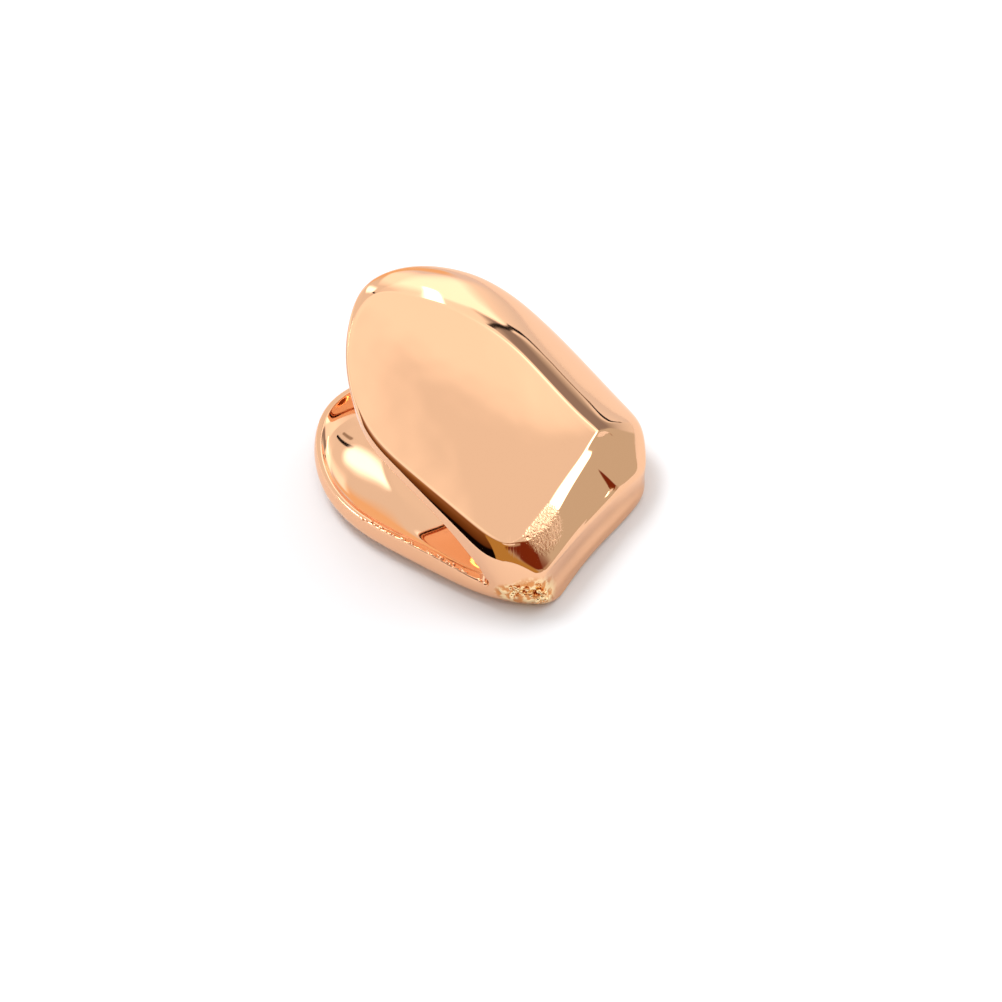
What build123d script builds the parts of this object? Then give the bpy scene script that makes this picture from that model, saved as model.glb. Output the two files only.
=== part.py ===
from build123d import *
from math import cos, radians, sin, tan
import os

# A cap for one front tooth, cast as a single thin shell of rose gold.
# It is drawn with +X towards the biting edge, +Y to the far side and +Z out of the polished face,
# with the straight end of that face at the origin. At the end it is turned into the pose in which
# it lies on a table by itself, on the flat sole of its tongue side.

# Driving dimensions, in millimetres and degrees
face_length = 8.7           # polished face, from its gum end to its straight end
face_width = 6.1            # polished face, across
body_width = 8.8            # whole cap, across its widest place
edge_depth = 3.37           # cap under the straight end of the polished face
wedge_angle = 29.8          # between the polished face and the sole
wall = 0.45                 # cast wall
near_drop = 0.5             # from the face down to the end of the near shoulder
far_drop = 1.2              # the same on the broad far shoulder
gum_near_round = 4.5        # rounded gum end of the face plate: length of its near half
gum_far_round = 5.5         # and of its far half
gum_near_reach = 4.3        # its reach to the near side of the middle line
gum_far_reach = 4.38        # and to the far side
bevel_length = 0.47         # first facet past the face
bevel_angle = 8.2
chamfer_length = 1.06       # second facet
chamfer_angle = 23.2
nose_reach = 2.65           # from the end of the face to the foremost point
rim_height = 1.3            # rim of the tongue plate over the sole
tip_height = 0.88           # the same at the tip
plate_length = 10.35        # tongue plate, from the biting edge to its tip
plate_near_reach = 4.08     # its reach to the near side of the middle line
plate_far_reach = 3.5       # and to the far side
plate_round = 4.0           # length of the rounded tip of the tongue plate
near_splay = 0.35           # by which its near side widens towards the biting edge
far_splay = 1.1             # and its far side
bowl_flare = 1.35           # how far the tip's wall leans out from the sole to the rim
curl_length = 3.0           # stretch of the tongue plate that curls up to its tip
curl_rise = 0.5
notch_reach = 1.7           # from the biting edge to the bottom of the side notches
notch_height = 1.0          # bottom of the notches over the sole
notch_ramp = 2.0            # stretch over which a notch deepens from the rim to its bottom
notch_round = 0.2
near_flange = 0.48          # wall left under the face along the near side
far_flange = 1.6            # the same half way along the far side
gum_flange = 0.85           # the same at the far side's gum end
gum_trim = 3.0              # how deep below the face the plan of the gum end trims the sides
flange_sweep = 3.4          # from the end of the face back to where the near flange starts to widen
middle = 0.2                # middle line of the cap, to the far side of the drawing's X axis
overrun = 4.0               # how far a cutting body reaches past what it cuts
sole_spare = 0.3            # how far the raw sections reach below the sole
face_spare = 0.03           # how far they reach over the face, which is lapped flat

# Bulge of each arc of a section, as a share of its chord
NEAR_BULGE = 0.12
FAR_BULGE = 0.045
SIDE_BULGE = 0.03
CORNER_BULGE = 0.17

# Sections of the raw body. station is a share of face_length, the two edges of the face are shares of
# face_width and the two sides shares of body_width. drop is a share of the shoulders' drops, waist
# the share of a side's width left at the top of its lower arc, corner the share of its height that
# this arc takes, and sole the share of the width left at the sole.
SECTION_COLUMNS = (
    "station", "face_near", "face_far", "near", "far", "drop", "waist", "corner", "sole"
)
SECTION_ROWS = [
    (-1.12, -0.580, 0.020, -0.445, 0.470, 0.90, 0.98, 0.10, 0.62),
    (-0.80, -0.600, 0.200, -0.452, 0.510, 0.97, 0.99, 0.12, 0.62),
    (-0.50, -0.610, 0.365, -0.455, 0.521, 1.00, 0.99, 0.16, 0.64),
    (-0.22, -0.590, 0.345, -0.446, 0.497, 1.00, 0.99, 0.25, 0.68),
    (0.00, -0.565, 0.340, -0.430, 0.479, 1.00, 0.98, 0.34, 0.74),
    (0.14, -0.530, 0.330, -0.408, 0.426, 0.95, 0.96, 0.42, 0.78),
    (0.32, -0.440, 0.280, -0.330, 0.290, 0.60, 0.94, 0.45, 0.84),
]
SECTIONS = [dict(zip(SECTION_COLUMNS, row)) for row in SECTION_ROWS]

# Levels of the bowl at the tip of the tongue plate, a row each: level is a share of rim_height, and
# lean the share of bowl_flare by which the wall stands further in than at the rim.
BOWL = [
    dict(level=-0.30, lean=1.35),
    dict(level=0.10, lean=0.60),
    dict(level=0.45, lean=0.12),
    dict(level=1.30, lean=0.00),
]


def sole_depth(x):
    """Depth of the sole below the face's plane, at x along the face."""
    return edge_depth - x * tan(radians(wedge_angle))


def facet_end(start, length, angle):
    """End of a facet of the side profile that falls away from the face at an angle."""
    return (start[0] + length * cos(radians(angle)), start[1] - length * sin(radians(angle)))


face_end = (0.0, 0.0)
bevel_end = facet_end(face_end, bevel_length, bevel_angle)
chamfer_end = facet_end(bevel_end, chamfer_length, chamfer_angle)
biting_edge = (nose_reach, -sole_depth(nose_reach))


def lying(x, z):
    """Point of the side profile, given along the sole from the biting edge and up from the sole."""
    turn = radians(wedge_angle)
    return (
        biting_edge[0] + x * cos(turn) - z * sin(turn),
        biting_edge[1] + x * sin(turn) + z * cos(turn),
    )


def bulged(start, end, bulge):
    """Arc from start to end, bulging to its left by a share of its chord."""
    dx = end[0] - start[0]
    dy = end[1] - start[1]
    crest = ((start[0] + end[0]) / 2 - dy * bulge, (start[1] + end[1]) / 2 + dx * bulge)
    return ThreePointArc(start, crest, end)


def side_points(row, inset, side, drop):
    """Side, waist and sole points of one half of a section, from the shoulder down."""
    depth = sole_depth(row["station"] * face_length) + sole_spare - inset
    inward = inset if side < 0 else -inset
    top = (side * body_width + inward, -drop * row["drop"] - inset / 2)
    low = (top[0] * row["waist"], top[1] - (depth + top[1]) * (1 - row["corner"]))
    return top, low, (low[0] * row["sole"], -depth)


def section(row, inset):
    """One closed section of the raw body, drawn inset by a wall."""
    face_near = (row["face_near"] * face_width + inset / 2, face_spare - inset)
    face_far = (row["face_far"] * face_width - inset / 2, face_spare - inset)
    side_near, low_near, sole_near = side_points(row, inset, row["near"], near_drop)
    side_far, low_far, sole_far = side_points(row, inset, row["far"], far_drop)
    outline = [
        Line(face_near, face_far),
        bulged(face_far, side_far, FAR_BULGE),
        bulged(side_far, low_far, SIDE_BULGE),
        bulged(low_far, sole_far, CORNER_BULGE),
        Line(sole_far, sole_near),
        bulged(sole_near, low_near, CORNER_BULGE),
        bulged(low_near, side_near, SIDE_BULGE),
        bulged(side_near, face_near, NEAR_BULGE),
    ]
    place = Plane(origin=(row["station"] * face_length, 0, 0), x_dir=(0, 1, 0), z_dir=(1, 0, 0))
    return place * make_face(outline)


def side_profile(inset):
    """Side profile of the cap: the face, the facets past it, the sole and its curled end."""
    back = -face_length - overrun
    curl_start = lying(curl_length - plate_length, 0)
    tip = lying(-plate_length, curl_rise)
    past = lying(-plate_length - overrun, curl_rise * (1 + 2 * overrun / curl_length))
    along_sole = Vector(*curl_start) - Vector(*biting_edge)
    outline = make_face(
        [
            Line((back, 0), face_end),
            Line(face_end, bevel_end),
            Line(bevel_end, chamfer_end),
            Line(chamfer_end, biting_edge),
            Line(biting_edge, curl_start),
            TangentArc(curl_start, tip, tangent=along_sole.normalized()),
            Line(tip, past),
            Line(past, (back, past[1])),
            Line((back, past[1]), (back, 0)),
        ]
    )
    if inset:
        outline = offset(outline, -inset, kind=Kind.INTERSECTION)
    return outline


def across(sketch, near, far):
    """Body with a side profile, from near to far across the tooth."""
    upright = Plane(origin=(0, far, 0), x_dir=(1, 0, 0), z_dir=(0, -1, 0))
    return extrude(upright * sketch, far - near)


def raw_body(inset):
    """Loft through the sections, cut to the side profile."""
    body = loft([section(row, inset) for row in SECTIONS])
    return body & across(side_profile(inset), -body_width, body_width)


def gum_end():
    """What the rounded gum end of the face plate leaves away."""
    tip = -face_length
    near_start = tip + gum_near_round
    far_start = tip + gum_far_round
    near_line = middle - gum_near_reach
    far_line = middle + gum_far_reach
    plate = make_face(
        [
            EllipticalCenterArc(
                (near_start, middle), gum_near_round, gum_near_reach, start_angle=180, arc_size=90
            ),
            Line((near_start, near_line), (overrun, near_line)),
            Line((overrun, near_line), (overrun, far_line)),
            Line((overrun, far_line), (far_start, far_line)),
            EllipticalCenterArc(
                (far_start, middle), gum_far_round, gum_far_reach, start_angle=90, arc_size=90
            ),
        ]
    )
    past = Pos(far_start - face_length, middle) * Rectangle(2 * face_length, 2 * body_width)
    return extrude(Pos(0, 0, -gum_trim) * (past - plate), gum_trim + overrun)


def sole_frame():
    """Frame of the sole: its origin on the biting edge, +X along the sole, +Z up into the hollow."""
    turn = radians(wedge_angle)
    return Plane(
        origin=(biting_edge[0], 0, biting_edge[1]),
        x_dir=(cos(turn), 0, sin(turn)),
        z_dir=(-sin(turn), 0, cos(turn)),
    )


def tip_plan(level, lean, inset):
    """Plan of the tongue plate at a level over the sole, which leans in towards the tip."""
    start = plate_round - plate_length
    deep = plate_round - lean - inset
    near = plate_near_reach - lean - inset
    far = plate_far_reach - lean - inset
    near_end = (0, middle - plate_near_reach - near_splay + inset)
    far_end = (0, middle + plate_far_reach + far_splay - inset)
    outline = [
        EllipticalCenterArc((start, middle), deep, far, start_angle=90, arc_size=90),
        EllipticalCenterArc((start, middle), deep, near, start_angle=180, arc_size=90),
        Line((start, middle - near), near_end),
        Line(near_end, far_end),
        Line(far_end, (start, middle + far)),
    ]
    return sole_frame() * Pos(0, 0, level) * make_face(outline)


def past_bowl(inset):
    """What the bowl at the tip of the tongue plate leaves away, from below the sole to the rim."""
    plans = []
    for row in BOWL:
        plans.append(tip_plan(row["level"] * rim_height, row["lean"] * bowl_flare, inset))
    low = BOWL[0]["level"] * rim_height
    block = Pos(-notch_reach - notch_ramp / 2, middle, low) * Box(
        2 * plate_length,
        2 * body_width,
        rim_height + wall / 2 - low,
        align=(Align.MAX, Align.CENTER, Align.MIN),
    )
    return sole_frame() * block - loft(plans)


def side_notch(upper_edge, bottom_corner, near, far):
    """Notch in a side wall, from its upper edge down to the rim of the tongue plate."""
    ramp_end = -notch_reach - notch_ramp
    past = -plate_length - overrun
    fall = (rim_height - tip_height) / (plate_length + ramp_end)
    rim_start = lying(ramp_end, rim_height)
    rim_back = lying(past, rim_height - fall * (ramp_end - past))
    top_back = upper_edge[-1] @ 1
    corner = (rim_back[0], top_back.Y)
    outline = make_face(
        [
            *upper_edge,
            Line((top_back.X, top_back.Y), corner),
            Line(corner, rim_back),
            Line(rim_back, rim_start),
            Line(rim_start, bottom_corner),
        ]
    )
    outline = fillet(outline.vertices().sort_by(Axis.X)[-1], notch_round)
    return across(outline, near, far)


def near_notch():
    """Notch of the near side, whose upper edge runs along the face and then sweeps down."""
    bottom = lying(-notch_reach, notch_height)
    sweep = TangentArc((-flange_sweep, -near_flange), bottom, tangent=(1, 0))
    back = Line((-flange_sweep, -near_flange), (-face_length, -near_flange))
    return side_notch([sweep, back], bottom, middle - body_width, middle)


def far_notch():
    """Notch of the far side, whose upper edge is one long arc."""
    bottom = lying(-notch_reach, notch_height)
    edge = ThreePointArc(bottom, (-face_length / 2, -far_flange), (-face_length, -gum_flange))
    return side_notch([edge], bottom, middle, middle + body_width)


def tooth_cap():
    """The shell: the body less its hollow, the two side notches and what the gum end leaves away."""
    outer = raw_body(0) - past_bowl(0)
    inner = raw_body(wall) - past_bowl(wall)
    shell = outer - inner - near_notch() - far_notch() - gum_end()
    return shell.solids().sort_by(SortBy.VOLUME)[-1]


cap = Rot(0, wedge_angle, 0) * tooth_cap()
box = cap.bounding_box()
cap = Pos(-box.center().X, -box.center().Y, -box.min.Z) * cap
os.makedirs("parts", exist_ok=True)
export_step(cap, "parts/tooth_cap.step")
print("tooth cap", box.size, round(cap.volume, 1), "cubic millimetres")
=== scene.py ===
# %% [markdown]
# This is a cap that is worn over one front tooth: a thin cast shell of rose gold, polished like a
# mirror, with a flat face, a broad shoulder on one side and a shallow plate behind the tooth. A
# mirror finish shows every wobble of the surface, so the cap is not taken over from the faceted CAD
# model. It is modelled again as a coarse cage of quads that a Subdivision Surface makes smooth, and
# this cage stays inside the box that the CAD model fills.

# %% The frame and the tools
import math
import random

import bmesh
import bpy
from mathutils import Matrix, Vector


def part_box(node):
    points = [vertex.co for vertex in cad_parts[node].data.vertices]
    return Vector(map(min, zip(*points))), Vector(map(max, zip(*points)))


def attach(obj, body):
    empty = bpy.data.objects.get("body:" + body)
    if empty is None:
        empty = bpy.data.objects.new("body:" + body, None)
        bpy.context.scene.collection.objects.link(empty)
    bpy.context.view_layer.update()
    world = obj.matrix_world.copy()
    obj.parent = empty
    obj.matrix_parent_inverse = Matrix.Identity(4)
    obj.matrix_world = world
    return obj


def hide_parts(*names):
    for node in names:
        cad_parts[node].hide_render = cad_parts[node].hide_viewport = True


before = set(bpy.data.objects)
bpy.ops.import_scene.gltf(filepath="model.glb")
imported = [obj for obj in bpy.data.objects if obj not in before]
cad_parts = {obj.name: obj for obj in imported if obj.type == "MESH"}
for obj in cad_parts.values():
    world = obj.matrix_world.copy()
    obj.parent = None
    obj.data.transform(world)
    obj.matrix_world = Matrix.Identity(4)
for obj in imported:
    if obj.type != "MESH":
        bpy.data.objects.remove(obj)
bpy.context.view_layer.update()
cap_low, cap_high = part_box("tooth_cap")
MM = 0.001


print("length of the cap in millimetres:", round((cap_high[0] - cap_low[0]) / MM, 2))

# %% [markdown]
# The cap is measured in two ways. The face and what hangs from it are measured along the polished
# face: l towards the biting edge, w across and n out of the face. The plate behind the tooth is
# measured on the table: x from the biting edge, y across and z up. Both are millimetres. A jeweller
# does the same with one gauge held against the face and another against the bench.

# %% Two ways to measure the cap
FACE_TILT = math.radians(29.8)
FACE_END = Vector((-1.379, 0.0, 2.924))
ALONG_FACE = Vector((math.cos(FACE_TILT), 0.0, -math.sin(FACE_TILT)))
OUT_OF_FACE = Vector((math.sin(FACE_TILT), 0.0, math.cos(FACE_TILT)))
MIDDLE_SHIFT = -0.27
BITING_EDGE = Vector((cap_high[0] / MM, MIDDLE_SHIFT, 0.0))


def on_table(x, y, z):
    """Point measured on the table from the biting edge, in the frame's millimetres."""
    return BITING_EDGE + Vector((x, y, z))


def on_face(l, w, n):
    """Point measured along the face, in the frame's millimetres."""
    return on_table(*(FACE_END + l * ALONG_FACE + w * Vector((0, 1, 0)) + n * OUT_OF_FACE))


print("middle of the face's straight end:", on_face(0, 0, 0))

# %% [markdown]
# The cage follows the rims. The face is a grid of quads, and strips run round its sides and its gum
# end, from the face's edge over the shoulder to the free edge. Each row of the table is one place
# along that rim, from the biting edge on the near side, round the gum end, to the far side. It
# gives the face's edge, the outermost point of the shoulder and the free edge, and says with long
# how far the shoulder is the long, soft kind instead of the tight kind. The rim could be a curve
# that is read at even steps, but a table also says where the cage is fine and where it is coarse.

# %% The rim of the face plate, in millimetres along the face
FACE_COLUMNS = (
    "face_l", "face_w", "face_n", "out_l", "out_w", "out_n", "edge_l", "edge_w", "edge_n", "long"
)
FACE_ROWS = [
    (1.51, -2.93, -0.53, 1.60, -3.00, -0.64, 2.00, -3.00, -1.22, 0.0),
    (0.45, -2.60, -0.06, 0.70, -3.40, -0.42, 1.30, -3.46, -1.25, 0.0),
    (-0.06, -3.34, 0.00, 0.07, -3.83, -0.37, 0.95, -3.74, -1.58, 0.0),
    (-0.66, -3.60, 0.00, -0.48, -4.01, -0.40, 0.62, -3.80, -1.80, 0.0),
    (-1.50, -3.67, 0.00, -1.36, -4.01, -0.33, -0.35, -3.92, -1.24, 0.0),
    (-2.40, -3.72, 0.00, -2.32, -4.01, -0.25, -1.50, -3.98, -0.80, 0.0),
    (-3.40, -3.79, 0.00, -3.38, -4.01, -0.17, -2.80, -4.00, -0.56, 0.0),
    (-4.40, -3.85, 0.00, -4.40, -4.01, -0.11, -4.10, -4.00, -0.50, 0.0),
    (-5.30, -3.85, 0.00, -5.32, -3.97, -0.10, -5.28, -3.94, -0.46, 0.0),
    (-6.10, -3.66, 0.00, -6.14, -3.74, -0.10, -6.05, -3.68, -0.44, 0.0),
    (-6.90, -3.24, 0.00, -6.94, -3.28, -0.10, -6.80, -3.16, -0.44, 0.0),
    (-7.60, -2.66, 0.00, -7.64, -2.68, -0.10, -7.48, -2.56, -0.44, 0.0),
    (-8.20, -1.90, 0.00, -8.24, -1.92, -0.10, -8.06, -1.82, -0.44, 0.0),
    (-8.58, -1.10, 0.00, -8.66, -1.13, -0.12, -8.52, -1.08, -0.46, 0.1),
    (-8.70, -0.35, 0.00, -8.95, -0.24, -0.18, -8.86, -0.24, -0.53, 0.3),
    (-8.55, 0.25, 0.00, -8.95, 0.55, -0.26, -8.92, 0.55, -0.60, 0.5),
    (-8.15, 0.70, 0.00, -8.64, 1.46, -0.38, -8.62, 1.50, -0.72, 0.7),
    (-7.50, 1.12, 0.00, -8.08, 2.38, -0.55, -8.06, 2.44, -0.90, 0.8),
    (-6.75, 1.58, 0.00, -7.28, 3.22, -0.74, -7.24, 3.30, -1.10, 0.9),
    (-5.90, 1.95, 0.00, -6.24, 3.98, -0.94, -6.20, 4.08, -1.32, 1.0),
    (-4.90, 2.22, 0.00, -5.00, 4.42, -1.10, -4.90, 4.48, -1.52, 1.0),
    (-3.80, 2.32, 0.00, -3.80, 4.52, -1.16, -3.60, 4.55, -1.62, 1.0),
    (-2.70, 2.24, 0.00, -2.60, 4.52, -1.20, -2.30, 4.55, -1.70, 1.0),
    (-1.60, 2.13, 0.00, -1.40, 4.43, -1.20, -1.00, 4.50, -1.76, 1.0),
    (-0.70, 2.09, 0.00, -0.40, 4.34, -1.18, 0.62, 4.38, -1.80, 1.0),
    (-0.12, 2.13, 0.00, 0.34, 4.26, -1.12, 0.90, 4.32, -1.72, 0.9),
    (0.17, 2.50, -0.20, 1.06, 3.98, -0.79, 1.34, 4.15, -1.60, 0.8),
    (1.78, 2.54, -0.74, 2.04, 2.88, -0.98, 2.34, 2.74, -1.44, 0.5),
]
FACE_RIM = [dict(zip(FACE_COLUMNS, row)) for row in FACE_ROWS]
print("rows round the face:", len(FACE_RIM))

# %% [markdown]
# The plate behind the tooth lies flat on the table and curls up to a thin rim round its shallow
# bowl. Its table goes the same way round: the rim, the outermost point of the wall, the edge of the
# flat sole, and with full how squarely the wall turns into the sole. Where the plate grows together
# with the face's side it has no rim of its own, and its row has three zeros instead. This table is
# measured on the table top, because the plate rests there and its sole has to be flat.

# %% The rim of the plate behind the tooth, in millimetres on the table
PLATE_COLUMNS = (
    "rim_x", "rim_y", "rim_z", "wall_x", "wall_y", "wall_z", "sole_x", "sole_y", "sole_z", "full"
)
PLATE_ROWS = [
    (0, 0, 0, -0.10, -2.96, 0.42, -0.04, -2.36, 0.04, 0.60),
    (0, 0, 0, -0.72, -3.48, 0.52, -0.75, -2.76, 0.00, 0.60),
    (0, 0, 0, -1.30, -3.72, 0.54, -1.30, -2.95, 0.00, 0.60),
    (0, 0, 0, -1.85, -3.88, 0.54, -1.90, -3.10, 0.00, 0.60),
    (-2.55, -3.92, 1.12, -2.70, -4.00, 0.54, -2.75, -3.20, 0.00, 0.60),
    (-3.60, -3.92, 1.22, -3.65, -4.01, 0.54, -3.70, -3.25, 0.00, 0.60),
    (-4.70, -3.92, 1.24, -4.70, -4.01, 0.54, -4.70, -3.25, 0.00, 0.60),
    (-5.80, -3.94, 1.20, -5.78, -4.01, 0.54, -5.70, -3.20, 0.00, 0.60),
    (-6.85, -3.86, 1.16, -6.82, -3.96, 0.56, -6.50, -3.05, 0.00, 0.60),
    (-7.85, -3.56, 1.10, -7.92, -3.68, 0.58, -7.20, -2.78, 0.02, 0.55),
    (-8.75, -3.02, 1.04, -8.86, -3.14, 0.62, -7.90, -2.28, 0.05, 0.50),
    (-9.50, -2.28, 0.98, -9.62, -2.36, 0.62, -8.45, -1.65, 0.09, 0.45),
    (-10.05, -1.45, 0.93, -10.14, -1.48, 0.62, -8.85, -1.00, 0.13, 0.42),
    (-10.34, -0.55, 0.90, -10.36, -0.54, 0.62, -9.05, -0.35, 0.15, 0.40),
    (-10.25, 0.35, 0.90, -10.24, 0.34, 0.62, -8.95, 0.28, 0.14, 0.40),
    (-9.78, 1.30, 0.94, -9.72, 1.26, 0.62, -8.50, 0.95, 0.09, 0.42),
    (-8.75, 2.28, 1.01, -8.68, 2.24, 0.60, -7.70, 1.65, 0.04, 0.48),
    (-7.40, 3.05, 1.11, -7.32, 3.02, 0.58, -6.75, 2.22, 0.00, 0.55),
    (-6.00, 3.55, 1.20, -5.95, 3.55, 0.60, -5.70, 2.65, 0.00, 0.60),
    (-4.80, 3.80, 1.24, -4.75, 3.82, 0.62, -4.70, 2.90, 0.00, 0.60),
    (-3.70, 3.95, 1.22, -3.70, 3.98, 0.62, -3.70, 3.00, 0.00, 0.60),
    (-2.60, 4.02, 1.12, -2.65, 4.04, 0.62, -2.75, 3.05, 0.00, 0.60),
    (0, 0, 0, -1.80, 4.00, 0.62, -1.90, 3.00, 0.00, 0.60),
    (0, 0, 0, -1.25, 3.95, 0.60, -1.30, 2.85, 0.00, 0.60),
    (0, 0, 0, -0.82, 3.66, 0.48, -0.75, 2.60, 0.00, 0.60),
    (0, 0, 0, -0.01, 2.72, 0.28, -0.03, 2.38, 0.04, 0.60),
]
PLATE_RIM = [dict(zip(PLATE_COLUMNS, row)) for row in PLATE_ROWS]
print("rows round the plate:", len(PLATE_RIM))

# %% [markdown]
# Past the straight end of the face come a narrow bevel, a chamfer and the nose down to the biting
# edge. The lines between them are slightly bowed by hand polishing, so each has its own small
# table, from the near side to the far side. A third number moves a point across: those points make
# the valley where the chamfer meets the corner facet of the far shoulder. The bevel operator could
# cut such facets, but it keeps one width, and these are wider at the near side.

# %% The lines across the biting end, as l and n along the face, and the biting edge as x and z
CHAMFER_END = [
    (1.48, -0.43), (1.46, -0.44), (1.45, -0.49),
    (1.45, -0.52), (1.46, -0.58, 1.18), (1.54, -0.50, 1.44),
]
BEVEL_END = [
    (0.61, -0.06), (0.57, -0.06), (0.44, -0.06),
    (0.34, -0.05), (0.25, -0.05, 1.14), (0.21, -0.05, 1.36),
]
FACE_STRAIGHT_END = [(0.22, 0.0), (0.18, 0.0), (0.07, 0.0), (0.01, 0.0), (-0.02, 0.0), (-0.06, 0.0)]
BITING_LINE = [
    (-0.10, 0.06), (-0.12, 0.12), (-0.11, 0.16), (-0.08, 0.15), (-0.04, 0.09), (-0.02, 0.05)
]
FRONT_LINES = [CHAMFER_END, BEVEL_END, FACE_STRAIGHT_END]
bevel_widths = [round(end[0] - start[0], 2) for start, end in zip(FACE_STRAIGHT_END, BEVEL_END)]
print("width of the bevel from near to far:", bevel_widths)

# %% [markdown]
# A cast cap has an outer skin and an inner skin, one wall apart, that meet in a narrow rim. A
# Solidify modifier would fold the inner skin over itself where the shoulders are tighter than the
# wall, so the same steps build both skins, and inset pulls every point of the inner one towards the
# hollow. The quads of a subdivided surface should be of about one size, which settles how many
# there are.

# %% How fine the cage is
WALL = 0.45
ACROSS = 7
FACE_STEPS = 7
PLATE_STEPS = 4
SEAM_ROWS = 4
FACE_GRID_ROWS = (len(FACE_RIM) - ACROSS - 1) // 2
PLATE_GRID_ROWS = (len(PLATE_RIM) - ACROSS - 1) // 2
NOSE_SPREAD = 0.8


def inward_at_nose(width):
    """Way in from a corner of the nose: back along the cap and towards its middle line."""
    return Vector((-1.0, -math.copysign(NOSE_SPREAD, width), 0.0))


def is_front(rim, index):
    """Whether a row of a rim is one of the two at the biting edge."""
    return index in (0, len(rim) - 1)


print("quads across:", ACROSS, "along the face:", FACE_GRID_ROWS, "the plate:", PLATE_GRID_ROWS)

# %% [markdown]
# The near side of the real cap turns over a tight shoulder, and the far side over a broad soft one.
# Both are the same strips with other proportions: two short tables say how far out and how far down
# each strip is, and the rim's long blends between them. A bevel would round both sides alike. On
# the inner skin the face's edge moves in by only half of the inset, and the shoulder and the free
# edge each lie at least a small step lower, so that it never folds.

# %% From the face's edge over the shoulder to the free edge
SHOULDER_TIGHT = [(0.0, 0.0), (0.28, 0.20), (0.51, 0.40), (0.70, 0.60), (0.86, 0.80), (1.0, 1.0)]
SHOULDER_LONG = [(0.0, 0.0), (0.20, 0.12), (0.38, 0.28), (0.62, 0.52), (0.84, 0.76), (1.0, 1.0)]
SHOULDER_STEPS = len(SHOULDER_LONG) - 1
FACE_INSET = 0.5
SKIN_STEP = 0.02


def shoulder_point(face, out, long, step):
    """Point on the way from the face's edge out and down to the outermost point of the shoulder."""
    tight, far = Vector(SHOULDER_TIGHT[step]), Vector(SHOULDER_LONG[step])
    outward, down = tight.lerp(far, long)
    flat = face.lerp(out, outward)
    return Vector((flat.x, flat.y, face.z + down * (out.z - face.z)))


def face_side_point(index, step, inset):
    """Point of the face plate's side: step 0 is on the face's edge, the last on the free edge."""
    row = FACE_RIM[index]
    face = Vector((row["face_l"], row["face_w"], row["face_n"]))
    out = Vector((row["out_l"], row["out_w"], row["out_n"]))
    edge = Vector((row["edge_l"], row["edge_w"], row["edge_n"]))
    if inset:
        inward = Vector((face.x - out.x, face.y - out.y, 0.0)).normalized()
        if is_front(FACE_RIM, index):
            inward = inward_at_nose(out.y)
        face = face + FACE_INSET * inset * inward - Vector((0, 0, inset))
        out = out + inset * inward
        out.z = min(out.z, face.z) - SKIN_STEP
        edge = edge + inset * inward
        edge.z = min(edge.z, out.z - SKIN_STEP)
    if step <= SHOULDER_STEPS:
        point = shoulder_point(face, out, row["long"], step)
    else:
        point = out.lerp(edge, (step - SHOULDER_STEPS) / (FACE_STEPS - SHOULDER_STEPS))
    return on_face(*point)


middle_row = len(FACE_RIM) // 2
print("gum end of the free edge:", face_side_point(middle_row, FACE_STEPS, 0.0))

# %% [markdown]
# Behind the tooth the inner skin is the shallow bowl that shows in the picture. Its floor rises
# towards the biting end, which tilts its mirror image, and drops back to one wall where the face
# plate covers it. Its sides are arcs from the floor to just under the rim. An arc is the simplest
# curve that can be made fuller or flatter with one number.

# %% From the sole up the wall to the rim, and the bowl inside
RIM_WALL = 0.17
RIM_LIP = 0.16
HOLLOW_WALL = 0.3
BOWL_REACH = 0.95
BOWL_FLOOR = 0.38
BOWL_FULL = 0.35
BOWL_RISE = 0.17
RISE_START = -8.2
RISE_LENGTH = 4.6
COVER_X, COVER_Y = -7.72, -1.2
COVER_WAY_X, COVER_WAY_Y = 1.54 / 3.65, 3.31 / 3.65
COVER_START, COVER_LENGTH = 0.9, 1.2


def bowl_height(x, y):
    """Height of the bowl's floor, which rises and then drops back under the face plate."""
    rise = BOWL_RISE * min(RISE_LENGTH, max(0.0, x - RISE_START))
    covered = (x - COVER_X) * COVER_WAY_X + (y - COVER_Y) * COVER_WAY_Y
    deep = min(1.0, max(0.0, (covered - COVER_START) / COVER_LENGTH))
    deep = deep * deep * (3.0 - 2.0 * deep)
    return BOWL_FLOOR + rise + (WALL - BOWL_FLOOR - rise) * deep


def arc_point(start, end, corner, full, share):
    """Point of an arc from start to end that leans towards a corner as far as full says."""
    pull = ((start + end) / 2).lerp(corner, full)
    return (1 - share) ** 2 * start + 2 * share * (1 - share) * pull + share**2 * end


def seam_point(index, inset):
    """Where the plate's side meets the face plate's side, or None where there is a notch."""
    if index < SEAM_ROWS:
        return face_side_point(index, FACE_STEPS, inset)
    if index >= len(PLATE_RIM) - SEAM_ROWS:
        return face_side_point(index - len(PLATE_RIM) + len(FACE_RIM), FACE_STEPS, inset)
    return None


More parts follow.
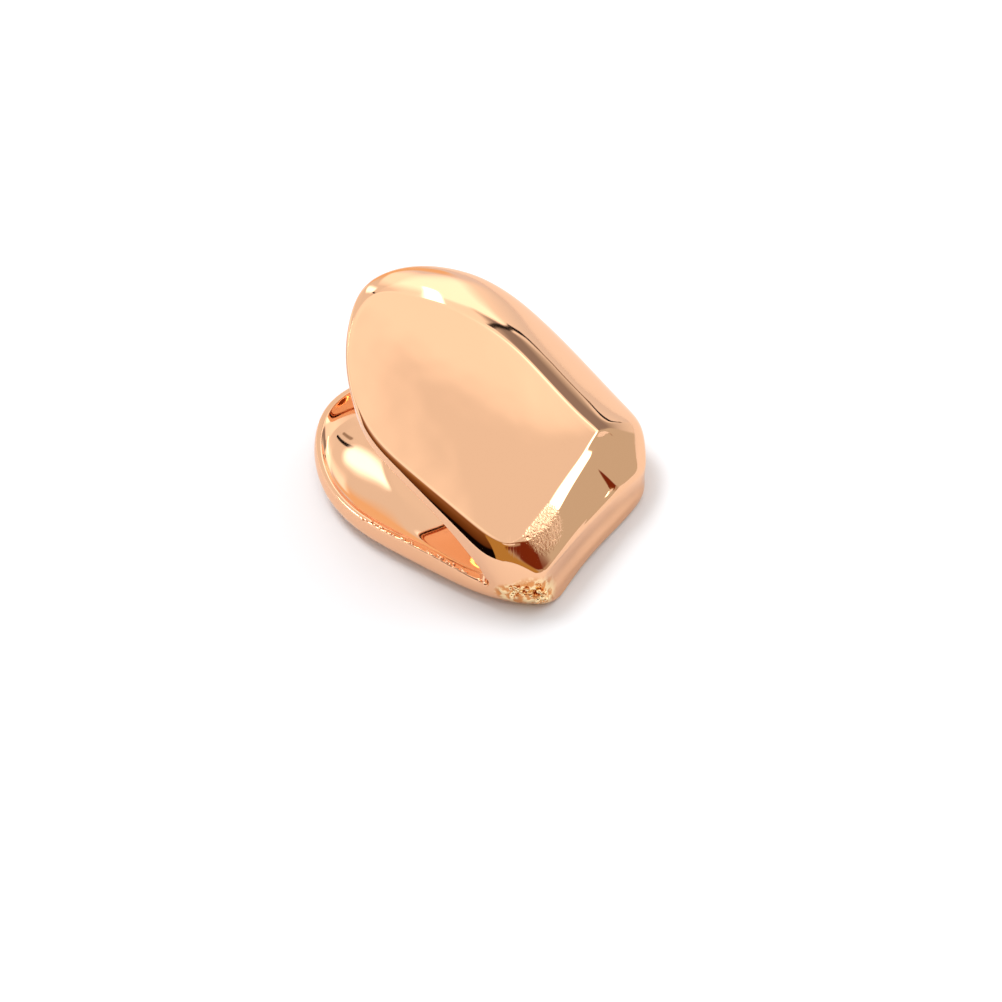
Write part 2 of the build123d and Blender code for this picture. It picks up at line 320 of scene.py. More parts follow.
def plate_side_point(index, step, inset):
    """Point of the plate's side: step 0 is on the edge of the sole, the last on the rim."""
    row = PLATE_RIM[index]
    wall = Vector((row["wall_x"], row["wall_y"], row["wall_z"]))
    sole = Vector((row["sole_x"], row["sole_y"], row["sole_z"]))
    rim = Vector((row["rim_x"], row["rim_y"], row["rim_z"]))
    full = row["full"]
    if inset:
        inward = Vector((sole.x - wall.x, sole.y - wall.y, 0.0)).normalized()
        reach = BOWL_REACH
        if is_front(PLATE_RIM, index):
            inward = inward_at_nose(wall.y)
            reach = inset
        rim = rim + RIM_WALL * inward
        wall = wall + inset * inward
        wall.z = rim.z - RIM_LIP if rim.z else max(wall.z, inset) + HOLLOW_WALL
        sole = sole + reach * inward
        sole.z = bowl_height(sole.x, sole.y)
        full = BOWL_FULL
    if step == PLATE_STEPS:
        seam = seam_point(index, inset)
        return on_table(*rim) if seam is None else seam
    corner = Vector((wall.x, wall.y, sole.z))
    return on_table(*arc_point(sole, wall, corner, full, step / (PLATE_STEPS - 1)))


tip_row = len(PLATE_RIM) // 2
print("tip of the plate's rim:", plate_side_point(tip_row, PLATE_STEPS, 0.0))
print("bowl's floor at the tip and near the biting end:", bowl_height(-9, 0), bowl_height(-3, -3))

# %% [markdown]
# The grid comes from create_grid. Its three outer sides are tagged with their row along the rim,
# and extrude_edge_only then grows one strip after the other from them. The tag travels with each
# extruded vertex, so every new vertex can be put where its row and its step say. Filling an outline
# would be quicker, but only rows of quads give the mirror even reflections.

# %% Grids and the strips that grow from them
def new_grid(bm, rows, tag):
    """Grid keyed by (across, along), and its three outer sides as one chain tagged by row."""
    made = bmesh.ops.create_grid(bm, x_segments=ACROSS, y_segments=rows, size=1.0)["verts"]
    low = min(v.co.x for v in made)
    wide = max(v.co.x for v in made) - low
    grid = {}
    for vert in made:
        across = round((vert.co.x - low) / wide * ACROSS)
        along = round((vert.co.y - low) / wide * rows)
        grid[across, along] = vert
        vert[tag] = -1
    chain = [grid[0, along] for along in range(rows)]
    chain += [grid[across, rows] for across in range(ACROSS)]
    chain += [grid[ACROSS, along] for along in range(rows, -1, -1)]
    for row, vert in enumerate(chain):
        vert[tag] = row
    return grid, chain


def grow_strips(bm, chain, tag, steps, place):
    """Extrude the chain step by step, and put each new vertex where its row and its step say."""
    strips = [chain]
    for step in range(1, steps + 1):
        edges = [bm.edges.get(pair) for pair in zip(chain, chain[1:])]
        made = bmesh.ops.extrude_edge_only(bm, edges=edges)["geom"]
        chain = sorted((g for g in made if isinstance(g, bmesh.types.BMVert)), key=lambda v: v[tag])
        for vert in chain:
            vert.co = place(vert[tag], step)
        strips.append(chain)
    return strips


grid_quads, strip_quads = ACROSS * FACE_GRID_ROWS, FACE_STEPS * (len(FACE_RIM) - 1)
print("quads in the face's grid:", grid_quads, "and in its strips:", strip_quads)

# %% [markdown]
# Hand polishing leaves no surface quite flat. The face bulges by less than a tenth of a millimetre,
# and this is what spreads the room's mirror image softly over it. So the inner points of a grid are
# spread between its sides, and those of the face are also lifted a little in its middle.

# %% Spreading a grid between its sides
FACE_CROWN = 0.08


def hump(share):
    """0 at both ends of a share from 0 to 1, and 1 in its middle."""
    return 4 * share * (1 - share)


def place_grid(grid, rows, front_lines, to_frame, crown=0.0):
    """Spread the inner vertices of a grid between its sides; it bows towards its rounded end."""
    near = [grid[0, along].co.copy() for along in range(rows + 1)]
    far = [grid[ACROSS, along].co.copy() for along in range(rows + 1)]
    fronts = len(front_lines)
    for along in range(rows):
        for across in range(1, ACROSS):
            share = across / ACROSS
            bow = max(0.0, (along - fronts) / (rows - fronts)) ** 2
            end = grid[across, rows].co - near[rows].lerp(far[rows], share)
            point = near[along].lerp(far[along], share) + bow * end
            if along < fronts:
                point = to_frame(front_lines[along][across - 1], point)
            else:
                length = (along - fronts + 1) / (rows - fronts + 1)
                point = point + crown * hump(share) * hump(length) * OUT_OF_FACE
            grid[across, along].co = point


print("bulge at a quarter and half of the way:", FACE_CROWN * hump(0.25), FACE_CROWN * hump(0.5))

# %% [markdown]
# One skin has two halves. The face half starts at the chamfer's end, crosses the chamfer, the bevel
# and the face to the gum end, and its strips hang down on both sides. The plate half starts at the
# biting edge and its strips stand up. Kept apart, each half is a plain grid, which is easy to
# check.

# %% The two halves of a skin
def build_face(bm, tag, inset):
    """Face grid with its bevel and chamfer, and the strips over the shoulders to the free edge."""
    grid, chain = new_grid(bm, FACE_GRID_ROWS, tag)
    for vert in chain:
        vert.co = face_side_point(vert[tag], 0, inset)

    def front_point(line, point):
        back = inset if line in CHAMFER_END else 0.0
        across = line[2] if len(line) == 3 else (point - BITING_EDGE).y
        return on_face(line[0] - back, across, line[1] - inset)

    def side_point(row, step):
        return face_side_point(row, step, inset)

    place_grid(grid, FACE_GRID_ROWS, FRONT_LINES, front_point, FACE_CROWN)
    return grid, grow_strips(bm, chain, tag, FACE_STEPS, side_point)


def build_plate(bm, tag, inset):
    """Plate grid from the biting edge to the tip, and the strips up its walls to the rim."""
    grid, chain = new_grid(bm, PLATE_GRID_ROWS, tag)
    for vert in chain:
        vert.co = plate_side_point(vert[tag], 0, inset)

    def biting_point(line, point):
        return on_table(line[0] - inset, (point - BITING_EDGE).y, line[1] + inset)

    def side_point(row, step):
        return plate_side_point(row, step, inset)

    place_grid(grid, PLATE_GRID_ROWS, [BITING_LINE], biting_point)
    if inset:
        for (across, along), vert in grid.items():
            if 0 < across < ACROSS and 0 < along < PLATE_GRID_ROWS:
                x, y, _ = vert.co - BITING_EDGE
                vert.co.z = bowl_height(x, y)
    return grid, grow_strips(bm, chain, tag, PLATE_STEPS, side_point)


trial = bmesh.new()
build_plate(trial, trial.verts.layers.int.new("row"), 0.0)
print("cage of a plate half:", len(trial.verts), "points,", len(trial.faces), "faces")
trial.free()

# %% [markdown]
# The halves are welded along the first rows on each side, where the real cap is one wall, and the
# rows after those stay open as the side notches. grid_fill then closes the nose between the chamfer
# and the biting edge. The nose could be one face that is cut up, but grid_fill carries the rows of
# both sides across it and bends them on its own.

# %% One skin of the cap
def build_skin(bm, inset):
    """Outer or inner skin, with the paths along it that get creases or the rim."""
    tag = bm.verts.layers.int["row"]
    face_grid, face_strips = build_face(bm, tag, inset)
    plate_grid, plate_strips = build_plate(bm, tag, inset)
    weld = {}
    for row in range(SEAM_ROWS):
        weld[plate_strips[-1][row]] = face_strips[-1][row]
        weld[plate_strips[-1][-1 - row]] = face_strips[-1][-1 - row]
    free_edge = face_strips[-1][SEAM_ROWS - 1 : len(FACE_RIM) - SEAM_ROWS + 1]
    free_edge += plate_strips[-1][-SEAM_ROWS - 1 : SEAM_ROWS - 1 : -1]
    bmesh.ops.weld_verts(bm, targetmap=weld)
    upper = [face_grid[across, 0] for across in range(ACROSS + 1)]
    lower = [plate_grid[across, 0] for across in range(ACROSS + 1)]
    rails = [bm.edges.get(pair) for rail in (upper, lower) for pair in zip(rail, rail[1:])]
    bmesh.ops.grid_fill(bm, edges=rails, use_smooth=True)
    lines = []
    for along in range(len(FRONT_LINES)):
        lines.append([face_grid[across, along] for across in range(ACROSS + 1)])
    downwards = face_strips + plate_strips[-2::-1]
    sides = [[strip[side] for strip in downwards] for side in (0, -1)]
    return {
        "rim": free_edge + free_edge[:1],
        "face": face_strips[0],
        "shoulder": face_strips[SHOULDER_STEPS],
        "lines": lines,
        "valley": [line[ACROSS - 2] for line in lines[:2]],
        "biting": lower,
        "sides": sides,
    }


cap_mesh = bmesh.new()
cap_mesh.verts.layers.int.new("row")
outer = build_skin(cap_mesh, 0.0)
inner = build_skin(cap_mesh, WALL)
print("cage of both skins:", len(cap_mesh.verts), "points,", len(cap_mesh.faces), "faces")

# %% [markdown]
# bridge_loops joins the two skins in the narrow rim. Then the edges get their sharpness. On the
# real cap the face was lapped flat, so its outline, the bevel and the chamfer are crisp, while the
# nose and the rim are only slightly broken. A crease does this without more quads: 1 is a knife
# edge, and at three levels of subdivision 0.6 is already as sharp as the polish leaves an edge. The
# near shoulder has such an edge too, on its first rows only, and it fades out on the next.

# %% The rim and the creases
CRISP = 0.60
BROKEN = 0.45
FADING = 0.40
SOFT = 0.30
NEAR_SHOULDER = slice(1, 7)
SHOULDER_FADES = slice(6, 8)


def path_edges(path):
    """Edges between the vertices of a path, one after the other."""
    return [cap_mesh.edges.get(pair) for pair in zip(path, path[1:])]


bmesh.ops.bridge_loops(cap_mesh, edges=path_edges(outer["rim"]) + path_edges(inner["rim"]))
creases = cap_mesh.edges.layers.float.new("crease_edge")
creased_paths = [(outer["face"], CRISP)]
creased_paths += [(line, CRISP) for line in outer["lines"]]
creased_paths += [(outer["biting"], SOFT)]
creased_paths += [(outer["shoulder"][NEAR_SHOULDER], CRISP)]
creased_paths += [(outer["shoulder"][SHOULDER_FADES], FADING)]
creased_paths += [(outer["valley"], CRISP)]
creased_paths += [(side, SOFT) for side in outer["sides"]]
creased_paths += [(skin["rim"], BROKEN) for skin in (outer, inner)]
for path, sharpness in creased_paths:
    for edge in path_edges(path):
        edge[creases] = sharpness
print("creased edges:", sum(edge[creases] > 0 for edge in cap_mesh.edges))

# %% [markdown]
# The near corner and the near rim were not cleaned up after casting. Tiny drops of metal sit there,
# and one larger one where the notch begins. Bump alone would leave the outline smooth, so each drop
# is a small cube in the same mesh, sunk into the wall, and the Subdivision Surface rounds it off.

# %% Beads left by the casting
RIM_BEADS = 34
CORNER_BEADS = 34
RIM_BEAD_LIMIT = -3.89
CORNER_BEAD_LIMIT = -0.18
CORNER_START = Vector((-0.10, -3.05, 0.54))
CORNER_END = Vector((-1.40, -3.82, 0.82))
CORNER_REACH = 0.8
CORNER_HEIGHT = Vector((0.0, 0.05, 0.5))
NOTCH_DROPS = [((-1.95, -3.84, 1.08), 0.26), ((-2.15, -3.86, 1.10), 0.16)]
NEAR_RIM = slice(4, 9)


def add_bead(place, size, turn):
    """Small lump: a cube that the Subdivision Surface rounds off."""
    turned = Matrix.Rotation(turn, 4, "Z") @ Matrix.Diagonal((*size, 1.0))
    bmesh.ops.create_cube(cap_mesh, size=1.0, matrix=Matrix.Translation(place) @ turned)


chance = random.Random(7)
near_rim = [Vector((row["rim_x"], row["rim_y"], row["rim_z"])) for row in PLATE_RIM[NEAR_RIM]]
for _ in range(RIM_BEADS):
    span = chance.uniform(0.0, len(near_rim) - 1.001)
    start = int(span)
    bead = near_rim[start].lerp(near_rim[start + 1], span - start)
    bead += Vector((0.0, RIM_WALL * chance.uniform(-0.1, 0.8), chance.uniform(0.0, 0.03)))
    bead.y = max(bead.y, RIM_BEAD_LIMIT)
    size = (chance.uniform(0.10, 0.30), chance.uniform(0.07, 0.13), chance.uniform(0.07, 0.12))
    add_bead(on_table(*bead), size, chance.uniform(-0.5, 0.3))
for bead, width in NOTCH_DROPS:
    add_bead(on_table(*bead), (width, width, width), 0.4)
for _ in range(CORNER_BEADS):
    share, rise = CORNER_REACH * chance.random(), chance.random()
    bead = CORNER_START.lerp(CORNER_END, share) + CORNER_HEIGHT * rise
    bead.x = min(bead.x, CORNER_BEAD_LIMIT)
    size = [chance.uniform(0.14, 0.30) for side in range(3)]
    add_bead(on_table(*bead), size, chance.uniform(0.0, 3.0))
print("beads:", RIM_BEADS + len(NOTCH_DROPS) + CORNER_BEADS)

# %% [markdown]
# The cage becomes one object, in metres, with its faces outwards and smooth. It is made a hair
# lower than drawn, so that the lifted face stays under the top of the CAD box. The modifier stays
# live, so the cage can still be changed, and turns it into the polished shell. From here on the
# shell stands for the CAD node.

# %% One smooth shell
TOP_TRIM = 0.9993
bmesh.ops.recalc_face_normals(cap_mesh, faces=cap_mesh.faces)
bmesh.ops.scale(cap_mesh, vec=(MM, MM, TOP_TRIM * MM), verts=cap_mesh.verts)
for face in cap_mesh.faces:
    face.smooth = True
open_edges = [edge for edge in cap_mesh.edges if len(edge.link_faces) != 2]
print("open edges:", len(open_edges), "cubic millimetres:", round(cap_mesh.calc_volume() * 1e9, 1))

cap_data = bpy.data.meshes.new("tooth_cap_polished")
cap_mesh.to_mesh(cap_data)
cap_mesh.free()
cap = bpy.data.objects.new("tooth_cap_polished", cap_data)
bpy.context.scene.collection.objects.link(cap)
smooth = cap.modifiers.new("smooth", "SUBSURF")
smooth.levels = smooth.render_levels = 3
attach(cap, "root")
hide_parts("tooth_cap")

# %% [markdown]
# Rose gold is a metal, so nearly all of its colour is the colour that it gives to what it mirrors:
# a base colour with much red, about half of green and less of blue, and Metallic at 1. The finishes
# that follow all read Object coordinates, because then they stay where they are on the cap.

# %% Rose gold
ROSE_GOLD = (0.87, 0.50, 0.295, 1.0)


def new_material(name):
    """Material with nodes, its node tree and its Principled shader."""
    material = bpy.data.materials.new(name)
    material.use_nodes = True
    return material, material.node_tree, material.node_tree.nodes["Principled BSDF"]


def add_node(tree, kind, values=None, inputs=None):
    """New node with its inputs set to values or linked from other sockets."""
    node = tree.nodes.new(kind)
    for name, value in (values or {}).items():
        setattr(node, name, value)
    for name, value in (inputs or {}).items():
        if isinstance(value, bpy.types.NodeSocket):
            tree.links.new(value, node.inputs[name])
        else:
            node.inputs[name].default_value = value
    return node


def maths(tree, operation, *numbers):
    """Result of a Math node on numbers or sockets."""
    inputs = dict(enumerate(numbers))
    return add_node(tree, "ShaderNodeMath", {"operation": operation}, inputs).outputs[0]


def step_between(tree, value, low, high, kind="SMOOTHSTEP"):
    """0 below low, 1 above high, and a smooth or a LINEAR rise between them."""
    inputs = {"Value": value, "From Min": low, "From Max": high}
    return add_node(tree, "ShaderNodeMapRange", {"interpolation_type": kind}, inputs).outputs[0]


gold, gold_tree, gold_shader = new_material("rose_gold")
gold_shader.inputs["Base Color"].default_value = ROSE_GOLD
gold_shader.inputs["Metallic"].default_value = 1.0
cap_data.materials.append(gold)
position = add_node(gold_tree, "ShaderNodeTexCoord").outputs["Object"]
print("colour of the polish:", ROSE_GOLD[:3])

# %% [markdown]
# Each flaw has its place on the cap, so masks come first: one is 1 near a point and fades to 0 at a
# reach, and one starts where the polished face ends. The bevel was left unpolished at its near end,
# the corner below it was filed, and the corner of the casting was left crumpled. Masks could be
# painted too, but that needs an unwrapped surface, and a distance from a point needs nothing.

# %% Where the flaws are
MASK_CORE = 0.6
POLISH_ENDS = (0.05, 0.2)


def vector_maths(tree, operation, output, *vectors):
    """One output of a Vector Math node on vectors or sockets."""
    inputs = dict(enumerate(vectors))
    return add_node(tree, "ShaderNodeVectorMath", {"operation": operation}, inputs).outputs[output]


def near_place(centre, reach):
    """1 at a place on the cap, falling to 0 at a reach in millimetres from it."""
    away = vector_maths(gold_tree, "DISTANCE", "Value", position, MM * centre)
    outside = step_between(gold_tree, away, MASK_CORE * MM * reach, MM * reach)
    return maths(gold_tree, "SUBTRACT", 1.0, outside)


def along_way(way):
    """How far a point of the cap lies along a way, in metres."""
    return vector_maths(gold_tree, "DOT_PRODUCT", "Value", position, way)


face_end = on_face(0.0, 0.0, 0.0).dot(ALONG_FACE)
fade = [MM * (face_end + past) for past in POLISH_ENDS]
past_face = step_between(gold_tree, along_way(ALONG_FACE), *fade, "LINEAR")
unpolished = maths(gold_tree, "MULTIPLY", near_place(on_face(0.45, -1.9, -0.05), 1.0), past_face)
filed = near_place(on_face(0.1, -3.15, -0.35), 0.6)
crumpled = maths(
    gold_tree,
    "MAXIMUM",
    near_place(on_table(-0.65, -3.15, 0.75), 1.0),
    near_place(on_table(-1.25, -3.62, 0.92), 0.5),
)
print("the face ends, along its own way, at", round(face_end, 2))

# %% [markdown]
# Four noises make the relief, from the broadest to the finest height. Slow waves of a hundredth of
# a millimetre are what hand polishing leaves everywhere. Fine grain roughens the unpolished bevel,
# a noise in one dimension draws the parallel lines of the file, and a coarse noise crumples the
# corner. This relief is far finer than the quads, so it is bump and not shape. Each row of reliefs
# says what it is, where, how deep in metres, and its noise. The bumps are chained, so each one
# rides on the surface that the last one left.

# %% Waves, grain, file lines and crumple
ACROSS_FILE_LINES = (0.84, 0.545, 0.0)


def noise(scale, detail):
    """Height of a noise on the cap, with its scale per metre."""
    values = {"Vector": position, "Scale": scale, "Detail": detail}
    return add_node(gold_tree, "ShaderNodeTexNoise", None, values).outputs["Fac"]


waves = noise(650.0, 1.0)
crumple = noise(4500.0, 3.0)
file_lines = add_node(
    gold_tree,
    "ShaderNodeTexNoise",
    {"noise_dimensions": "1D"},
    {"W": along_way(ACROSS_FILE_LINES), "Scale": 14000.0, "Detail": 2.0},
).outputs["Fac"]
reliefs = [
    ("waves", 1.0, 0.000008, waves),
    ("grain", unpolished, 0.000024, noise(11000.0, 2.0)),
    ("file lines", filed, 0.0000025, file_lines),
    ("crumple", crumpled, 0.00006, crumple),
]
relief = None
for name, strength, depth, bump_height in reliefs:
    bump = {"Strength": strength, "Distance": depth, "Height": bump_height}
    if relief is not None:
        bump["Normal"] = relief
    relief = add_node(gold_tree, "ShaderNodeBump", None, bump).outputs["Normal"]
    print("relief of the", name, "in micrometres:", round(depth * 1e6, 1))
gold_tree.links.new(relief, gold_shader.inputs["Normal"])

# %% [markdown]
# The crumpled corner gets painted light in its colour: pale cream spots are painted highlights, and
# dark orange spots are painted reflections of the gold in its own lumps. The crumple's own noise
# divides the two, so that colour and relief belong together, and the corner's mask lays them over
# the rose gold. The gloss follows the waves, nearly that of a mirror everywhere, and only the
# unpolished bevel is duller.

# %% Colour with painted glints, and gloss
# The dark orange is a painted reflection and the cream is a painted highlight.
PAINTED_REFLECTION_ORANGE = (0.72, 0.30, 0.10, 1.0)
PAINTED_HIGHLIGHT_CREAM = (0.98, 0.74, 0.42, 1.0)
GRAIN_ROUGHNESS = 0.18
POLISH_ROUGHNESS = (0.03, 0.05)
GLINT_SPOT_EDGE = (0.42, 0.58)


def mix_colours(tree, mask, first, second):
    """First colour where the mask is 0 and second where it is 1."""
    values = {"Factor": mask, "A": first, "B": second}
    return add_node(tree, "ShaderNodeMix", {"data_type": "RGBA"}, values).outputs["Result"]


# Painted highlights and painted reflections: cream and dark orange spots laid over the crumpled
# corner.
glint_spots = step_between(gold_tree, crumple, *GLINT_SPOT_EDGE)
painted_glints = mix_colours(gold_tree, glint_spots, PAINTED_REFLECTION_ORANGE, PAINTED_HIGHLIGHT_CREAM)
gold_with_painted_glints = mix_colours(gold_tree, crumpled, ROSE_GOLD, painted_glints)
gold_tree.links.new(gold_with_painted_glints, gold_shader.inputs["Base Color"])
low_polish, high_polish = POLISH_ROUGHNESS
polish = add_node(
    gold_tree,
    "ShaderNodeMapRange",
    None,
    {"Value": waves, "From Min": 0.3, "From Max": 0.7, "To Min": low_polish, "To Max": high_polish},
).outputs["Result"]
gloss = maths(gold_tree, "MULTIPLY_ADD", unpolished, GRAIN_ROUGHNESS, polish)
gold_tree.links.new(gloss, gold_shader.inputs["Roughness"])
print("nodes in the rose gold:", len(gold_tree.nodes))

# %% [markdown]
# The cap lies on plain white paper. Paper scatters light evenly, so it gets no gloss at all. It is
# wide, because the polished sides mirror it far out towards the horizon.

# %% The floor
FLOOR_RADIUS = 0.6
floor_mesh = bmesh.new()
bmesh.ops.create_circle(floor_mesh, cap_ends=True, segments=96, radius=FLOOR_RADIUS)
floor_data = bpy.data.meshes.new("floor")
floor_mesh.to_mesh(floor_data)
floor_mesh.free()
floor = bpy.data.objects.new("floor", floor_data)
bpy.context.scene.collection.objects.link(floor)
paper, _, paper_shader = new_material("white_paper")
paper_shader.inputs["Base Color"].default_value = (0.87, 0.89, 0.92, 1.0)
paper_shader.inputs["Roughness"].default_value = 1.0
paper_shader.inputs["Specular IOR Level"].default_value = 0.0
floor_data.materials.append(paper)
print("radius of the floor in metres:", FLOOR_RADIUS)

# %% [markdown]
# The photograph was taken from above and from one side, with a long lens, since the sole's far and
# near edges run almost parallel. The camera stands far off with a narrow field. Its aim is worked
# out from where the middle of the biting edge lies in the picture, so the lens needs no shift.

# %% The camera
ELEVATION = math.radians(52.0)
AZIMUTH = math.radians(33.0)
PIXELS = 1002
PIXELS_PER_MM = 31.0
AIM_PIXEL = Vector((601.0, 551.5))
DISTANCE = 1.2
right = Vector((math.cos(AZIMUTH), math.sin(AZIMUTH), 0.0))
up = Vector((
    -math.sin(ELEVATION) * math.sin(AZIMUTH),
    math.sin(ELEVATION) * math.cos(AZIMUTH),
    math.cos(ELEVATION),
))
back = right.cross(up)
aside = (PIXELS / 2 - AIM_PIXEL.x) / PIXELS_PER_MM
above = (AIM_PIXEL.y - PIXELS / 2) / PIXELS_PER_MM
target = MM * (BITING_EDGE + aside * right + above * up)
camera_data = bpy.data.cameras.new("camera")
camera = bpy.data.objects.new("camera", camera_data)
bpy.context.scene.collection.objects.link(camera)
turned = Matrix((right, up, back)).transposed().to_4x4()
camera.matrix_world = Matrix.Translation(target + DISTANCE * back) @ turned
frame_width = PIXELS / PIXELS_PER_MM * MM
camera_data.sensor_width = 36.0
camera_data.lens = camera_data.sensor_width * DISTANCE / frame_width
camera_data.clip_end = 10.0
bpy.context.scene.camera = camera
print("lens in millimetres:", round(camera_data.lens))

# %% [markdown]
# A polished cap shows the room more than itself, so the light is a room: a world whose colour
# depends on the bearing and the height at which it is seen, both in degrees. An image of a room
# would do the same. Plain nodes keep it procedural, and every part of it can be moved until its
# mirror image is where the photograph has it. The Standard view keeps the white of the paper pure.

# %% The room, by bearing and height
world = bpy.data.worlds.new("studio")
world.use_nodes = True
bpy.context.scene.world = world
bpy.context.scene.view_settings.view_transform = "Standard"
room = world.node_tree
direction = add_node(room, "ShaderNodeTexCoord").outputs["Generated"]
towards = add_node(room, "ShaderNodeSeparateXYZ", None, {0: direction}).outputs
height = maths(room, "MULTIPLY", maths(room, "ARCSINE", towards["Z"]), 180 / math.pi)
bearing = maths(room, "MULTIPLY", maths(room, "ARCTAN2", towards["Y"], towards["X"]), 180 / math.pi)
print("nodes in the room so far:", len(room.nodes))

# %% [markdown]
# The room is divided into walls by bearing. Each wall is a colour ramp by height: on the camera's
# side dark, gold, red and brown things stand up to half way, beyond them are the window and plain
# pale walls, and one wall behind the cap is orange. The list of walls says at which bearing each
# begins and over how many degrees its edge blends into the one before.

# %% The walls
BLACK = (0.004, 0.002, 0.002)
ORANGE = (1.05, 0.76, 0.48)
BROWN = (0.69, 0.70, 0.64)
BROWN_TOP = (0.72, 0.74, 0.68)
height_share = step_between(room, height, -90, 90, "LINEAR")


def wall(stops):
    """One wall of the room: its colours by height in degrees."""
    ramp = add_node(room, "ShaderNodeValToRGB", None, {0: height_share})
    elements = ramp.color_ramp.elements
    for number, (degrees, colour) in enumerate(stops):
        share = (degrees + 90) / 180
        stop = elements[number] if number < 2 else elements.new(share)
        stop.position = share
        stop.color = (*colour, 1.0) if isinstance(colour, tuple) else (colour, colour, colour, 1.0)
    return ramp.outputs["Color"]


near_wall = wall([
    (14.5, BLACK), (18, (0.12, 0.04, 0.01)), (30, (0.20, 0.08, 0.02)), (44, (0.36, 0.18, 0.08)),
    (54, 1.0),
])
gold_wall = wall([(30, (0.54, 0.34, 0.09)), (44, (0.45, 0.26, 0.1)), (54, 1.0)])
red_wall = wall([
    (9.2, (0.56, 0.47, 0.38)), (10.8, (0.20, 0.035, 0.012)), (17, (0.22, 0.04, 0.012)),
    (24, (0.45, 0.25, 0.1)), (36, 0.9),
])
shade_wall = wall([(12, BROWN), (22, BROWN_TOP), (32, 1.1), (45, 1.0), (48.5, 1.35)])
brown_wall = wall([
    (12, BROWN), (20, BROWN_TOP), (23.5, 5.0), (31.5, 5.0), (35, 1.0), (45, 1.0), (48.5, 1.35),
    (60, 1.1),
])
corner_wall = wall([
    (12, BROWN), (17, BROWN_TOP), (20, 2.4), (33, 2.4), (37, 1.5), (41, 1.3), (49, 1.35),
    (60, 1.1),
])
far_wall = wall([
    (1, 1.0), (4.5, 0.78), (8, (0.55, 0.54, 0.52)), (11.5, (0.34, 0.32, 0.33)),
    (17.5, (0.35, 0.33, 0.35)), (19.5, (0.6, 0.57, 0.57)), (22, 1.3), (45, 1.4), (60, 1.1),
])
window_wall = wall([
    (1, (0.93, 0.95, 1.0)), (8, 1.2), (12, 1.9), (26, 1.9), (34, 1.1), (44, 0.95), (70, 1.0)
])
plain_wall = wall([
    (1, (0.93, 0.97, 1.1)), (17, (0.95, 1.0, 1.15)), (22, 1.5), (28, 1.5), (33, 1.0), (70, 1.0)
])
orange_wall = wall([(-10, 0.9), (0, ORANGE), (23, ORANGE), (29, 0.95), (70, 1.0)])
walls = [
    (-112, 8, near_wall), (-40, 2, gold_wall), (-9, 5, red_wall), (23, 4, shade_wall),
    (35.5, 3, brown_wall), (47, 4, corner_wall), (61, 4, far_wall), (79, 2.5, window_wall),
    (90, 4, plain_wall), (104, 4, orange_wall), (130, 8, plain_wall),
]
light = plain_wall
for edge, soft, surface in walls:
    starts = step_between(room, bearing, edge - soft / 2, edge + soft / 2)
    light = mix_colours(room, starts, light, surface)
print("walls round the room:", len(walls))

# %% [markdown]
# Some mirror images are too small for a wall: the thin black line that runs down the far shoulder,
# the black curve and the bright blob in the bowl, and the white patch near the top of the face.
# Each is a stroke between two places in the room, soft at its edges. Its distance is worked out
# like that of a point from a line, so a bent line is a few strokes with shared ends. Each row has
# the two places, half the width, how soft the edge is, and the colour.

# %% Strokes on the walls
SMUDGE_BROWN = (0.4, 0.35, 0.3)
LINE_END_BROWN = (0.25, 0.19, 0.14)
WINDOW_GLOW = (2.6, 2.8, 3.0)
LAMP_WHITE = (4.0, 4.0, 4.2)
CEILING = (1.2, 1.2, 1.2, 1.0)
place = add_node(room, "ShaderNodeCombineXYZ", None, {"X": bearing, "Y": height}).outputs[0]


def stroke(start, end, half_width, soft):
    """Mask of a straight stroke between two places, in degrees of bearing and height."""
    run = (end[0] - start[0], end[1] - start[1], 0.0)
    square = run[0] ** 2 + run[1] ** 2
    way = (run[0] / square, run[1] / square, 0.0)
    offset = vector_maths(room, "SUBTRACT", "Vector", place, (*start, 0.0))
    along = vector_maths(room, "DOT_PRODUCT", "Value", offset, way)
    clamped = add_node(room, "ShaderNodeClamp", None, {"Value": along}).outputs[0]
    nearest = vector_maths(room, "MULTIPLY", "Vector", run, clamped)
    away = vector_maths(room, "DISTANCE", "Value", offset, nearest)
    outside = step_between(room, away, half_width - soft / 2, half_width + soft / 2)
    return maths(room, "SUBTRACT", 1.0, outside)


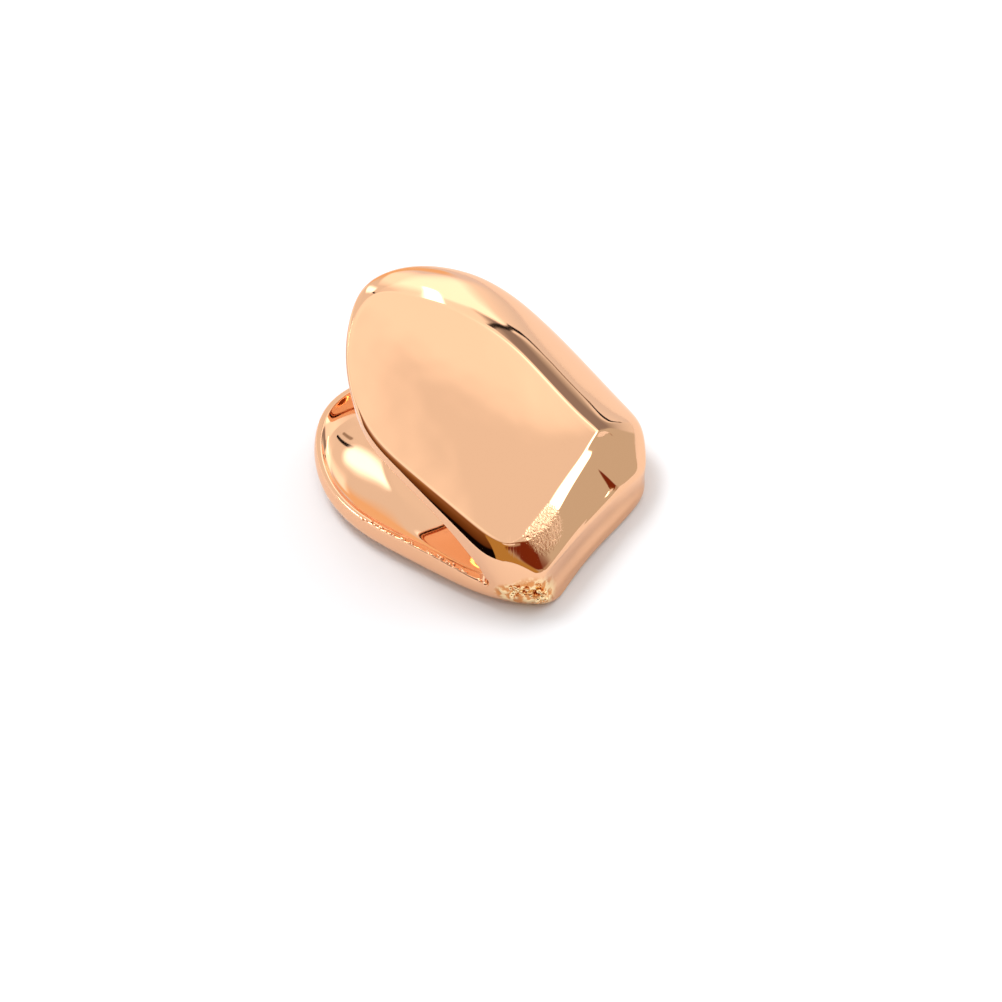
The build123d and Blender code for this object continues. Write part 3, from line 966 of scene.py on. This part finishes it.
strokes = [
    ((74.5, 22.5), (78.6, 13.0), 0.5, 0.4, BLACK),
    ((78.6, 13.0), (81.2, 8.0), 0.5, 0.4, BLACK),
    ((81.2, 8.0), (81.4, 4.6), 0.75, 0.4, BLACK),
    ((81.4, 4.6), (80.4, 3.2), 0.6, 0.4, BLACK),
    ((80.4, 3.2), (79.0, 2.7), 0.45, 0.4, LINE_END_BROWN),
    ((87.0, 43.4), (101.0, 43.0), 0.8, 0.4, BLACK),
    ((90.0, 47.5), (97.0, 47.0), 1.0, 1.0, SMUDGE_BROWN),
    ((96.0, 11.0), (106.0, 16.0), 4.5, 3.0, ORANGE),
    ((103.0, 40.0), (119.0, 37.5), 3.5, 5.0, WINDOW_GLOW),
    ((84.5, 24.0), (76.0, 31.0), 0.9, 0.5, LAMP_WHITE),
]
for start, end, half_width, soft, colour in strokes:
    light = mix_colours(room, stroke(start, end, half_width, soft), light, (*colour, 1.0))
light = mix_colours(room, step_between(room, height, 58, 74), light, CEILING)
room.links.new(light, room.nodes["Background"].inputs["Color"])
print("strokes on the walls:", len(strokes), "and nodes in the room:", len(room.nodes))

# %% [markdown]
# The photograph has one soft shadow, to the right of the cap and in front of it. A single large
# softbox, high on the other side, makes it, and the room fills the shadow up to a pale warm grey. A
# sun or a point lamp would be simpler, but its shadow would be hard and its mirror image a dot.

# %% The softbox
BOX_BEARING = math.radians(176.0)
BOX_HEIGHT = math.radians(62.0)
BOX_DISTANCE = 0.6
box_way = Vector((
    math.cos(BOX_HEIGHT) * math.cos(BOX_BEARING),
    math.cos(BOX_HEIGHT) * math.sin(BOX_BEARING),
    math.sin(BOX_HEIGHT),
))
softbox_data = bpy.data.lights.new("softbox", "AREA")
softbox_data.size = 0.2
softbox_data.energy = 1.4
softbox = bpy.data.objects.new("softbox", softbox_data)
bpy.context.scene.collection.objects.link(softbox)
softbox.location = BOX_DISTANCE * box_way
softbox.rotation_euler = box_way.to_track_quat("Z", "Y").to_euler()
print("power of the softbox in watts:", round(softbox_data.energy, 2))
